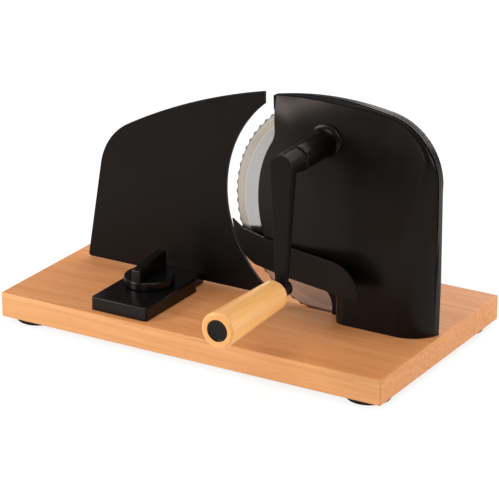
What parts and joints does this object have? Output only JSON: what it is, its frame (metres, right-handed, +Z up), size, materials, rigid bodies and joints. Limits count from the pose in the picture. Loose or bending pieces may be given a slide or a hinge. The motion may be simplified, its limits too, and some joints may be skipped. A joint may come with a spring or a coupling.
{
  "type": "hand-cranked bread slicer",
  "caption": "Hand-cranked bread slicer: wooden board on rubber feet, geared round blade in a black housing, sliding stop plate with a thickness knob, slice deflector, crank with wooden grip.",
  "frame": {"origin": "on the standing plane of the feet, under the middle of the board", "axes": "+X along the board towards the housing, +Y away from the crank side, +Z up"},
  "size_m": [0.365, 0.291, 0.2151],
  "materials": {
    "board_beech": "oiled beech, glued staves",
    "foot_rubber": "matt moulded rubber",
    "housing_black": "satin black powder coat on a die casting",
    "plate_black": "satin black powder coat on sheet steel",
    "gauge_black": "moulded black plastic, half gloss",
    "grip_beech": "turned beech, varnished",
    "blade_steel": "polished stainless steel",
    "bright_steel": "bright zinc",
    "bush_bronze": "sintered bronze",
    "gear_nylon": "moulded nylon"
  },
  "bodies": {
    "base": {"base_board": "board_beech", "rubber_feet": "foot_rubber", "foot_screws": "bright_steel", "housing_cover": "housing_black", "housing_back": "housing_black", "cover_screws": "bright_steel", "housing_screws": "bright_steel", "crank_front_bush": "bush_bronze", "crank_rear_bush": "bush_bronze", "blade_front_bush": "bush_bronze", "blade_rear_bush": "bush_bronze", "slice_deflector": "plate_black", "deflector_screws": "bright_steel", "gauge_block": "gauge_black", "gauge_screws": "bright_steel"},
    "crank": {"crank_shaft": "bright_steel", "crank_gear": "gear_nylon", "crank_washer": "bright_steel", "crank_arm": "plate_black", "hub_screw": "bright_steel", "handle_spindle": "bright_steel", "handle_screw": "bright_steel"},
    "grip": {"handle_grip": "grip_beech", "grip_plug": "gauge_black"},
    "blade": {"blade": "blade_steel", "blade_spindle": "bright_steel", "blade_gear": "gear_nylon", "blade_screw": "bright_steel"},
    "plate": {"stop_plate": "plate_black", "plate_slide": "gauge_black", "plate_screws": "bright_steel"},
    "knob": {"gauge_knob": "gauge_black", "gauge_pinion": "gear_nylon", "knob_washer": "bright_steel", "knob_screw": "bright_steel"}
  },
  "joints": [
    {"name": "crank_turn", "type": "hinge", "parent": "base", "child": "crank", "pos_m": [0.0819, -0.04, 0.181], "axis": [0, 1, 0], "continuous": true},
    {"name": "grip_spin", "type": "hinge", "parent": "crank", "child": "grip", "pos_m": [0.0819, -0.138, 0.077], "axis": [0, 1, 0], "continuous": true},
    {"name": "blade_turn", "type": "hinge", "parent": "base", "child": "blade", "pos_m": [0.0819, 0.0005, 0.117], "axis": [0, 1, 0], "continuous": true},
    {"name": "plate_slide", "type": "slide", "parent": "base", "child": "plate", "axis": [0, -1, 0], "range_m": [0, 0.017]},
    {"name": "knob_turn", "type": "hinge", "parent": "base", "child": "knob", "pos_m": [-0.0695, -0.048, 0.04], "axis": [0, 0, -1], "range_deg": [0, 139.2]}
  ],
  "couplings": [
    {"joint": "blade_turn", "follows": "crank_turn", "ratio": -0.77778},
    {"joint": "knob_turn", "follows": "plate_slide", "rad_per_m": 142.86}
  ]
}
